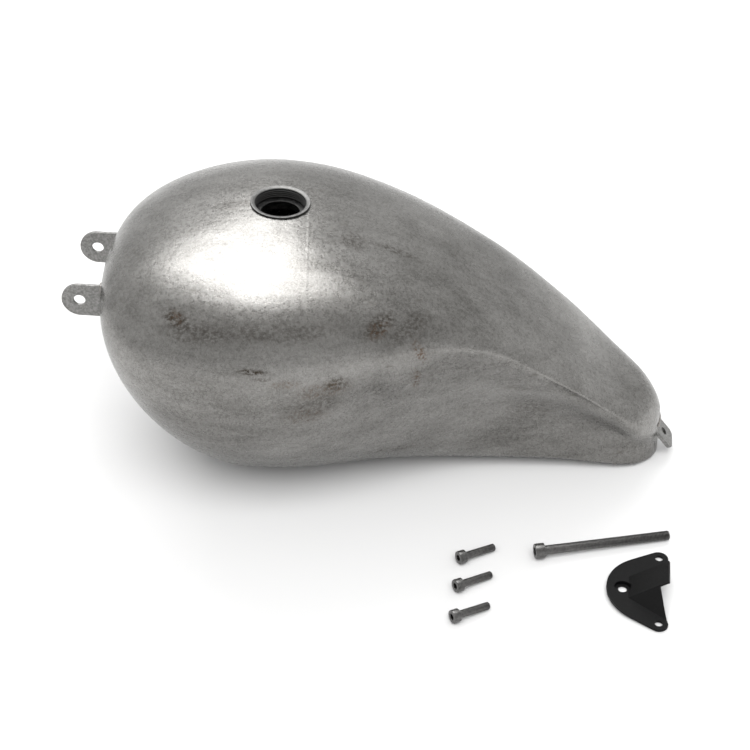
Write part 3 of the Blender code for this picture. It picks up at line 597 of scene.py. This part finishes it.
def close_under(sheet, chosen):
    """Carries the sheet's lower edges to the centre plane wherever a place along the length is chosen."""
    pick(sheet)
    bpy.ops.object.mode_set(mode="EDIT")
    bpy.ops.mesh.select_mode(type="EDGE")
    bpy.ops.mesh.select_all(action="DESELECT")
    cage = bmesh.from_edit_mesh(sheet.data)
    for edge in cage.edges:
        if edge.is_boundary:
            places = np.array([vert.co.x + NOSE_TO_ORIGIN for vert in edge.verts])
            widths, heights = body_point(places, np.array([2.0, 2.0]))
            apart = [abs(abs(vert.co.y) - width) + abs(vert.co.z - BENCH - height)
                     for vert, width, height in zip(edge.verts, widths, heights)]
            edge.select = bool(max(apart) < 0.0001 and chosen(places))
    bmesh.update_edit_mesh(sheet.data)
    bpy.ops.mesh.extrude_edges_move(TRANSFORM_OT_translate={"value": (0, 0, 0)})
    cage = bmesh.from_edit_mesh(sheet.data)
    for vert in cage.verts:
        if vert.select:
            vert.co.y = 0
    bmesh.update_edit_mesh(sheet.data)
    bpy.ops.object.mode_set(mode="OBJECT")


def trim(sheet, chosen, place, normal):
    """Cuts the chosen faces along a plane, and keeps both sides."""
    pick(sheet)
    bpy.ops.object.mode_set(mode="EDIT")
    bpy.ops.mesh.select_mode(type="FACE")
    bpy.ops.mesh.select_all(action="DESELECT")
    cage = bmesh.from_edit_mesh(sheet.data)
    for face in cage.faces:
        face.select = bool(chosen(face.calc_center_median()))
    bmesh.update_edit_mesh(sheet.data)
    bpy.ops.mesh.bisect(plane_co=place, plane_no=normal, use_fill=False)
    bpy.ops.object.mode_set(mode="OBJECT")


def thicken(sheet):
    """Gives the sheet its wall, inwards from the outer face."""
    middle = Vector(to_frame(BODY_LENGTH * 0.4, 0, CROWN_HEIGHT / 2))
    outward_share = sum(face.normal.dot(face.center - middle) * face.area for face in sheet.data.polygons)
    if outward_share < 0:
        pick(sheet)
        bpy.ops.object.mode_set(mode="EDIT")
        bpy.ops.mesh.select_all(action="SELECT")
        bpy.ops.mesh.flip_normals()
        bpy.ops.object.mode_set(mode="OBJECT")
    apply_modifier(sheet, "SOLIDIFY", thickness=SHEET, offset=-1.0, use_even_offset=False)


def add_skin(steel):
    """Both pressed sides as one skin, since their centre weld is ground flush."""
    skin = raise_skin("pressed_sides", 0, BODY_LENGTH, -2, 2)
    close_seams(skin)
    close_under(skin, lambda places: not PAN_FRONT + 1e-6 <= max(places) <= BODY_LENGTH - TAIL_CORNER)
    close_seams(skin)
    outward(skin)

    def is_pan(middle):
        x = middle.x + NOSE_TO_ORIGIN
        if x < PAN_FRONT:
            return False
        edge, height = body_point(np.array([x]), np.array([FLOOR_SPLIT]))
        low = middle.z - BENCH < height[0] + 0.0004
        return low and abs(middle.y) < edge[0] and x < BODY_LENGTH - TAIL_CORNER
    cut_faces(skin, is_pan)
    roof = TUNNEL_ROOF + BENCH

    def chin(middle):
        return middle.x + NOSE_TO_ORIGIN < PAN_FRONT + 0.004 and middle.z < roof + 0.02
    for side in (1, -1):
        trim(skin, chin, (0, side * TUNNEL_HALF, 0), (0, 1, 0))
    trim(skin, lambda middle: chin(middle) and abs(middle.y) < TUNNEL_HALF, (0, 0, roof), (0, 0, 1))
    cut_faces(skin, lambda middle: chin(middle) and abs(middle.y) < TUNNEL_HALF and middle.z < roof)
    thicken(skin)
    start_clean()
    bpy.ops.mesh.primitive_cylinder_add(vertices=96, radius=FILLER_HOLE, depth=0.05, location=FILLER_PLACE,
                                        rotation=(0, -FILLER_SLOPE, 0))
    cutter = bpy.context.object
    apply_modifier(skin, "BOOLEAN", object=cutter, operation="DIFFERENCE", solver="EXACT")
    bpy.data.objects.remove(cutter)
    smooth(skin, 40)
    return dress(skin, "pressed_sides", steel, "raw_sheet_steel", "tank", "left_shell", "right_shell")


def add_pans(steel):
    rear = BODY_LENGTH - PAN_REAR
    for side, name in ((-1, "left"), (1, "right")):
        turns = sorted((side * FLOOR_SPLIT, side * 2))
        pan = raise_skin(name + "_pan", PAN_FRONT, rear, *turns)
        widen_to_centre(pan, side)
        close_seams(pan)
        thicken(pan)
        smooth(pan, 40)
        dress(pan, name + "_bottom_sheet", steel, "raw_sheet_steel", "tank", name + "_floor_pan")
    floor = raise_skin("tail_sheet", rear, BODY_LENGTH - TAIL_CORNER, FLOOR_SPLIT, 2)
    pick(floor)
    span_under(floor)
    close_seams(floor)
    thicken(floor)
    smooth(floor, 40)
    dress(floor, "tail_bottom_sheet", steel, "raw_sheet_steel", "tank", "tail_floor")


def widen_to_centre(pan, side):
    """Stretches the pan's inner edge to the tunnel's side."""
    pick(pan)
    bpy.ops.object.mode_set(mode="EDIT")
    bpy.ops.mesh.select_mode(type="EDGE")
    bpy.ops.mesh.select_all(action="DESELECT")
    cage = bmesh.from_edit_mesh(pan.data)
    for edge in cage.edges:
        if edge.is_boundary:
            ends = [abs(vert.co.y) for vert in edge.verts]
            inner = []
            for vert in edge.verts:
                x = np.array([vert.co.x + NOSE_TO_ORIGIN])
                inner.append(abs(abs(vert.co.y) - float(body_point(x, np.array([2.0]))[0][0])) < 1e-5)
            edge.select = all(inner) and max(ends) < 0.06
    bmesh.update_edit_mesh(pan.data)
    bpy.ops.mesh.extrude_edges_move(TRANSFORM_OT_translate={"value": (0, 0, 0)})
    cage = bmesh.from_edit_mesh(pan.data)
    for vert in cage.verts:
        if vert.select:
            vert.co.y = side * TUNNEL_HALF
    bmesh.update_edit_mesh(pan.data)
    bpy.ops.object.mode_set(mode="OBJECT")


def span_under(floor):
    """Mirrors the tail's floor to the other side and bridges the two halves."""
    bpy.ops.object.mode_set(mode="EDIT")
    bpy.ops.mesh.select_mode(type="EDGE")
    bpy.ops.mesh.select_all(action="DESELECT")
    cage = bmesh.from_edit_mesh(floor.data)
    for edge in cage.edges:
        if edge.is_boundary:
            matches = []
            for vert in edge.verts:
                x = np.array([vert.co.x + NOSE_TO_ORIGIN])
                matches.append(abs(vert.co.y - float(body_point(x, np.array([2.0]))[0][0])) < 1e-5)
            edge.select = all(matches)
    bmesh.update_edit_mesh(floor.data)
    bpy.ops.mesh.extrude_edges_move(TRANSFORM_OT_translate={"value": (0, 0, 0)})
    cage = bmesh.from_edit_mesh(floor.data)
    for vert in cage.verts:
        if vert.select:
            vert.co.y = 0
    bmesh.update_edit_mesh(floor.data)
    bpy.ops.object.mode_set(mode="OBJECT")
    apply_modifier(floor, "MIRROR", use_axis=(False, True, False))
    outward(floor)


# ---------------------------------------------------------------- pieces taken over from the frame

def carry_over(node, name, material, slot_name, body, bevel, angle=30):
    """A copy of a frame piece with its edges broken."""
    start_clean()
    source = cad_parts[node]
    piece = bpy.data.objects.new(name, source.data.copy())
    bpy.context.scene.collection.objects.link(piece)
    pick(piece)
    bpy.ops.object.mode_set(mode="EDIT")
    bpy.ops.mesh.select_all(action="SELECT")
    bpy.ops.mesh.remove_doubles(threshold=0.00001)
    bpy.ops.mesh.dissolve_limited(angle_limit=math.radians(0.3))
    bpy.ops.object.mode_set(mode="OBJECT")
    apply_modifier(piece, "BEVEL", width=bevel, segments=2, limit_method="ANGLE",
                   angle_limit=math.radians(angle), use_clamp_overlap=True)
    smooth(piece, 30)
    apply_modifier(piece, "WEIGHTED_NORMAL", keep_sharp=True, weight=100)
    return dress(piece, name, material, slot_name, body, node)


def cut_plate(outline, hole, thickness, edge):
    """A flat plate with a round hole and softened edges, across its own Z axis."""
    start_clean()
    bpy.ops.curve.primitive_bezier_circle_add(radius=hole)
    drawing = bpy.context.object
    drawing.data.dimensions = "2D"
    drawing.data.fill_mode = "BOTH"
    drawing.data.resolution_u = 16
    rim = drawing.data.splines.new("POLY")
    rim.points.add(len(outline) - 1)
    for point, place in zip(rim.points, outline):
        point.co = (*place, 0, 1)
    rim.use_cyclic_u = True
    drawing.data.offset = -edge
    drawing.data.extrude = thickness / 2 - edge
    drawing.data.bevel_depth = edge
    drawing.data.bevel_resolution = 1
    pick(drawing)
    bpy.ops.object.convert(target="MESH")
    piece = bpy.context.object
    close_seams(piece)
    outward(piece)
    return piece


def add_front_ears(steel):
    half = EAR_HALF_HEIGHT
    for side, name in ((-1, "left_front"), (1, "right_front")):
        middle = side * EAR_SPACING / 2
        outline = []
        for angle in np.radians(np.linspace(90, 270, 33)):
            outline.append((half * math.cos(angle), half * math.sin(angle)))
        for rise in np.linspace(-half, half, 13):
            outline.append((EAR_REACH + skin_x(middle, EAR_LEVEL + rise, True) - 0.0006, rise))
        ear = cut_plate(outline, EAR_HOLE, EAR_SHEET, 0.0003)
        stand_at(ear, to_frame(-EAR_REACH, middle, EAR_LEVEL), (math.pi / 2, 0, 0))
        smooth(ear, 30)
        apply_modifier(ear, "WEIGHTED_NORMAL", keep_sharp=True, weight=100)
        dress(ear, name + "_tab", steel, "ear_steel", "tank", name + "_ear")


# ---------------------------------------------------------------- welds

def skin_x(y, z, from_front):
    """Where a line along the length at this width and height meets the skin."""
    outside, inside = (0.0, BODY_LENGTH / 2) if from_front else (BODY_LENGTH, BODY_LENGTH * 0.8)
    turns = np.linspace(0, 2, 161)
    for _ in range(26):
        middle = (outside + inside) / 2
        edge_y, edge_z = body_point(np.full_like(turns, middle), turns)
        low, high = edge_z.min(), edge_z.max()
        widest = np.interp(-z, -edge_z, edge_y) if low < z < high else -1
        if widest > abs(y):
            inside = middle
        else:
            outside = middle
    return (outside + inside) / 2


def weld_bead(name, path, radius, steel, closed=False, ripple=0.0016):
    """A bead with the ripples that a torch leaves, along a path."""
    path = np.array(path)
    steps = np.linalg.norm(np.diff(path, axis=0), axis=1)
    lengths = np.concatenate([[0], np.cumsum(steps)])
    count = max(int(lengths[-1] / (ripple / 4)), 8)
    even = np.linspace(0, lengths[-1], count + 1)
    points = np.stack([np.interp(even, lengths, path[:, axis]) for axis in range(3)], axis=1)
    sides = 10
    start_clean()
    bpy.ops.mesh.primitive_grid_add(x_subdivisions=count, y_subdivisions=sides, size=2)
    bead = bpy.context.object
    flat = np.empty(len(bead.data.vertices) * 3)
    bead.data.vertices.foreach_get("co", flat)
    flat = flat.reshape(-1, 3)
    row = np.rint((flat[:, 0] + 1) / 2 * count).astype(int)
    angle = (flat[:, 1] + 1) * math.pi
    tangent = np.gradient(points, axis=0)
    tangent /= np.linalg.norm(tangent, axis=1, keepdims=True) + 1e-12
    up = np.where(np.abs(tangent[:, 2:3]) > 0.9, np.array([[1.0, 0, 0]]), np.array([[0, 0, 1.0]]))
    across = np.cross(tangent, up)
    across /= np.linalg.norm(across, axis=1, keepdims=True) + 1e-12
    upright = np.cross(across, tangent)
    wave = 1 + 0.16 * np.abs(np.sin(math.pi * even / ripple)) + 0.05 * np.sin(even / ripple * 0.61)
    if not closed:
        ends = np.minimum(even, even[-1] - even) / radius
        wave *= np.sqrt(np.clip(ends, 0.02, 1))
    size = (radius * wave)[row][:, None]
    turned = np.cos(angle)[:, None] * across[row] + np.sin(angle)[:, None] * upright[row]
    bent = points[row] + size * turned
    bead.data.vertices.foreach_set("co", bent.ravel())
    bead.data.update()
    pick(bead)
    bpy.ops.object.mode_set(mode="EDIT")
    bpy.ops.mesh.select_all(action="SELECT")
    bpy.ops.mesh.remove_doubles(threshold=0.00004)
    bpy.ops.mesh.select_all(action="DESELECT")
    bpy.ops.mesh.select_non_manifold()
    bpy.ops.mesh.edge_face_add()
    bpy.ops.object.mode_set(mode="OBJECT")
    outward(bead)
    smooth(bead, 60)
    return dress(bead, name, steel, "raw_sheet_steel", "tank")


def section_at(x, low_turn, high_turn, count, side):
    turns = np.linspace(low_turn, high_turn, count)
    y, z = body_point(np.full_like(turns, x), turns)
    return [to_frame(x, side * a, b) for a, b in zip(y, z)]


def add_welds(steel):
    rear = BODY_LENGTH - PAN_REAR
    run = np.linspace(PAN_FRONT, BODY_LENGTH - 0.020, 90)
    for side, name in ((-1, "left"), (1, "right")):
        y, z = body_point(run, np.full_like(run, FLOOR_SPLIT))
        path = [to_frame(a, side * (b - 0.0022), c + 0.0002) for a, b, c in zip(run, y, z)]
        weld_bead(name + "_floor_weld", path, 0.0012, steel)
        for place, end in ((PAN_FRONT, "front"), (rear, "rear")):
            height = body_point(np.array([place]), np.array([2.0]))[1]
            inner = TUNNEL_HALF if end == "front" else 0.0
            path = section_at(place, FLOOR_SPLIT, 2, 12, side) + [to_frame(place, side * inner, height[0])]
            weld_bead(f"{name}_{end}_cross_weld", path, 0.0013, steel)
        tunnel_run = np.linspace(PAN_FRONT, BODY_LENGTH - TUNNEL_END, 80)
        height = body_point(tunnel_run, np.full_like(tunnel_run, 2.0))[1]
        path = [to_frame(a, side * TUNNEL_HALF, b) for a, b in zip(tunnel_run, height)]
        weld_bead(name + "_tunnel_weld", path, 0.0012, steel)
        ear_y = side * EAR_SPACING / 2
        wide = 0.0024
        tall = EAR_HALF_HEIGHT + 0.0004
        corners = ((-wide, -tall), (wide, -tall), (wide, tall), (-wide, tall), (-wide, -tall))
        path = []
        for start, end in zip(corners[:-1], corners[1:]):
            for share in np.linspace(0, 1, 9)[:-1]:
                y = ear_y + start[0] + (end[0] - start[0]) * share
                z = EAR_LEVEL + start[1] + (end[1] - start[1]) * share
                path.append(to_frame(skin_x(y, z, True), y, z))
        path.append(path[0])
        weld_bead(name + "_ear_weld", path, 0.0013, steel, closed=True)
    path = []
    for y in np.linspace(-REAR_WELD_HALF, REAR_WELD_HALF, 17):
        path.append(to_frame(skin_x(y, REAR_WELD_LEVEL, False), y, REAR_WELD_LEVEL))
    weld_bead("rear_ear_weld", path, 0.0015, steel)


# ---------------------------------------------------------------- filler neck

def turned(name, profile, steps=96):
    """A profile of (radius, height) turned round its own Z axis."""
    start_clean()
    bpy.ops.mesh.primitive_circle_add(vertices=len(profile), radius=0.01)
    piece = bpy.context.object
    piece.name = name
    for vert, (radius, height) in zip(piece.data.vertices, profile):
        vert.co = (radius, 0, height)
    apply_modifier(piece, "SCREW", angle=math.tau, steps=steps, render_steps=steps, axis="Z",
                   use_merge_vertices=True, merge_threshold=0.00001)
    outward(piece)
    return piece


def stand_at(piece, place, turn):
    piece.location = place
    piece.rotation_euler = turn
    settle(piece)
    return piece


def add_filler(neck_metal_and_shade, ring_painted_shade_metal):
    """Turned neck with a shallow funnel lip and the cap's thread, and the ring the cap seals on."""
    turn = (0, -FILLER_SLOPE, 0)
    bore = NECK_BORE
    rim = NECK_RIM
    profile = [(rim, -0.0045), (rim, 0.0006), (rim - 0.0004, 0.0010), (rim - 0.0010, 0.0011),
               (bore + 0.0006, 0.0001), (bore, -0.0005)]
    depth = -0.0020
    while depth > -0.0090:
        profile += [(bore, depth), (bore - 0.0006, depth - 0.0007), (bore - 0.0006, depth - 0.0009),
                    (bore, depth - 0.0016)]
        depth -= THREAD_STEP
    step = bore + NECK_WALL / 2
    profile += [(bore, -0.011), (step, -0.011), (step, NECK_FOOT), (bore + NECK_WALL, NECK_FOOT),
                (bore + NECK_WALL, -0.0045)]
    neck = stand_at(turned("neck", profile), FILLER_PLACE, turn)
    smooth(neck, 30)
    dress(neck, "turned_neck", neck_metal_and_shade, "turned_steel", "tank", "filler_neck")
    outer = step - 0.0003
    inner = SEAL_BORE
    ring_profile = [(inner, -0.0117), (inner + 0.0004, -0.0113), (outer - 0.0006, -0.0113), (outer, -0.0117),
                    (outer, -0.0143), (inner + 0.0004, -0.0143), (inner, -0.0139)]
    ring = stand_at(turned("ring", ring_profile), FILLER_PLACE, turn)
    smooth(ring, 30)
    dress(ring, "cap_seal_ring", ring_painted_shade_metal, "turned_steel", "tank", "cap_seat_ring")


# ---------------------------------------------------------------- screws

def threaded_rod(length, diameter, pitch, plain):
    """A rod along +Z from 0, threaded from the plain length under the head to a chamfered point."""
    around = 40
    per_pitch = 6
    rings = int(length / pitch * per_pitch)
    start_clean()
    bpy.ops.mesh.primitive_grid_add(x_subdivisions=rings, y_subdivisions=around, size=2)
    rod = bpy.context.object
    flat = np.empty(len(rod.data.vertices) * 3)
    rod.data.vertices.foreach_get("co", flat)
    flat = flat.reshape(-1, 3)
    height = (flat[:, 0] + 1) / 2 * length
    angle = (flat[:, 1] + 1) * math.pi
    phase = (height / pitch - angle / math.tau) % 1.0
    depth = 0.58 * pitch
    groove = np.clip(1.15 - 2.3 * np.abs(phase - 0.5) * 1.15, 0, 1)
    fade = np.clip((height - plain) / pitch, 0, 1)
    point = np.clip((length - height) / (depth * 1.1), 0, 1)
    radius = diameter / 2 - depth * groove * fade
    radius = np.minimum(radius, diameter / 2 - depth * (1 - point))
    bent = np.stack([radius * np.cos(angle), radius * np.sin(angle), height], axis=1)
    rod.data.vertices.foreach_set("co", bent.ravel())
    rod.data.update()
    pick(rod)
    bpy.ops.object.mode_set(mode="EDIT")
    bpy.ops.mesh.select_all(action="SELECT")
    bpy.ops.mesh.remove_doubles(threshold=0.00001)
    bpy.ops.mesh.select_all(action="DESELECT")
    bpy.ops.mesh.select_non_manifold()
    bpy.ops.mesh.fill()
    bpy.ops.object.mode_set(mode="OBJECT")
    outward(rod)
    return rod


def socket_head(head, height, key, key_depth):
    """A head from 0 down to -height, open at its top with the key's hexagon."""
    edge = head * 0.055
    profile = [(0, 0), (head / 2 - edge * 1.2, 0), (head / 2 - edge * 0.35, -edge * 0.35),
               (head / 2, -edge * 1.2), (head / 2, -height + edge * 0.5), (head / 2 - edge * 0.5, -height),
               (0, -height)]
    start_clean()
    bpy.ops.mesh.primitive_circle_add(vertices=len(profile), radius=0.01)
    cap = bpy.context.object
    for vert, (radius, level) in zip(cap.data.vertices, profile):
        vert.co = (radius, 0, level)
    apply_modifier(cap, "SCREW", angle=math.tau, steps=64, render_steps=64, axis="Z",
                   use_merge_vertices=True, merge_threshold=0.00001)
    close_seams(cap)
    outward(cap)
    start_clean()
    bpy.ops.mesh.primitive_cylinder_add(vertices=6, radius=key / math.sqrt(3), depth=key_depth * 2)
    hexagon = bpy.context.object
    apply_modifier(cap, "BOOLEAN", object=hexagon, operation="DIFFERENCE", solver="EXACT")
    bpy.data.objects.remove(hexagon)
    start_clean()
    bpy.ops.mesh.primitive_cone_add(vertices=48, radius1=key * 0.46, radius2=key * 0.66, depth=0.0016,
                                    location=(0, 0, -0.0002))
    mouth = bpy.context.object
    apply_modifier(cap, "BOOLEAN", object=mouth, operation="DIFFERENCE", solver="EXACT")
    bpy.data.objects.remove(mouth)
    return cap


def add_screw(node, place, heading, size, steel):
    thread, length, head, head_height, key, key_depth, pitch = size
    rod = threaded_rod(length + 0.0005, thread, pitch, 0.0012)
    rod.rotation_euler = (math.pi, 0, 0)
    rod.location = (0, 0, -head_height + 0.0004)
    settle(rod)
    cap = socket_head(head, head_height, key, key_depth)
    pick(cap)
    rod.select_set(True)
    bpy.ops.object.join()
    dip = math.atan2((head - thread) / 2, length)
    rest = head_height * math.sin(dip) + head / 2 * math.cos(dip)
    lie = Matrix.Rotation(math.radians(heading), 4, "Z") @ Matrix.Rotation(dip - math.pi / 2, 4, "Y")
    stand_at(cap, to_frame(place[0], place[1], rest), lie.to_euler())
    smooth(cap, 32)
    dress(cap, node + "_detailed", steel, "dark_screw_steel", node, node)


# ---------------------------------------------------------------- assembly

add_camera(azimuth=5.7, pitch=36.4, aim=(0.0925, -0.0998, 0.0740), distance=2.45, lens=114.7)
add_bench()
add_studio_air()
add_softbox("overhead_softbox", (-0.19, 0.30, 0.93), 1.3, (0.0, -0.09, 0.19), (1.10, 1.75), 28, True)
add_softbox("bench_fill", (0.1, -0.50, 0.86), 3.4, (0.0, -0.25, BENCH), (4.0, 3.0), 165, False)
add_softbox("back_fill", (-0.1, 0.75, 0.66), 2.6, (0.0, 0.0, BENCH), (3.0, 1.6), 70, False)

sheet = sheet_steel()
machined = plain_steel("turned_fitting_steel", (0.10, 0.10, 0.10), (0.26, 0.26, 0.255), 0.40, 0.0002, 260)
neck_metal_and_shade = neck_finish_with_painted_shade()
# the seal ring's steel is darkened as painted shade, since the ring sits down in the bore
ring_painted_shade_metal = plain_steel(
    "seal_ring_painted_shade_steel", (0.030, 0.030, 0.030), (0.085, 0.085, 0.083), 0.45, 0.0002, 260)
ear_steel = plain_steel("cut_ear_steel", (0.105, 0.105, 0.100), (0.36, 0.355, 0.345), 0.44, 0.0003, 420)
weld_steel = plain_steel("weld_bead_steel", (0.14, 0.13, 0.12), (0.44, 0.42, 0.40), 0.34, 0.0002, 400)
screw_steel = plain_steel(
    "oiled_screw_steel", (0.085, 0.084, 0.082), (0.19, 0.188, 0.184), 0.34, 0.0001, 400)
black = powder_coat()

add_skin(sheet)
add_pans(sheet)
add_welds(weld_steel)
add_filler(neck_metal_and_shade, ring_painted_shade_metal)
add_front_ears(ear_steel)
carry_over("rear_ear", "rear_tab", ear_steel, "ear_steel", "tank", 0.0005)
carry_over("backbone_tunnel", "folded_tunnel", sheet, "raw_sheet_steel", "tank", 0.0004)
carry_over("front_baffle", "front_slosh_plate", sheet, "raw_sheet_steel", "tank", 0.0003)
carry_over("rear_baffle", "rear_slosh_plate", sheet, "raw_sheet_steel", "tank", 0.0003)
carry_over("fuel_outlet_bung", "outlet_spigot", machined, "turned_steel", "tank", 0.0003)
carry_over("left_crossover_nipple", "left_hose_nipple", machined, "turned_steel", "tank", 0.0002)
carry_over("right_crossover_nipple", "right_hose_nipple", machined, "turned_steel", "tank", 0.0002)
carry_over("vent_pipe", "breather_pipe", machined, "turned_steel", "tank", 0.0002)
carry_over("rear_bracket", "coated_bracket", black, "black_powder_coat", "rear_bracket", 0.0006, 25)

add_screw("short_screw_1", (0.389, -0.2150), 35.0, SHORT_SCREW, screw_steel)
add_screw("short_screw_2", (0.389, -0.2585), 36.0, SHORT_SCREW, screw_steel)
add_screw("short_screw_3", (0.389, -0.3045), 35.0, SHORT_SCREW, screw_steel)
add_screw("long_screw", (0.4662, -0.1980), 17.7, LONG_SCREW, screw_steel)
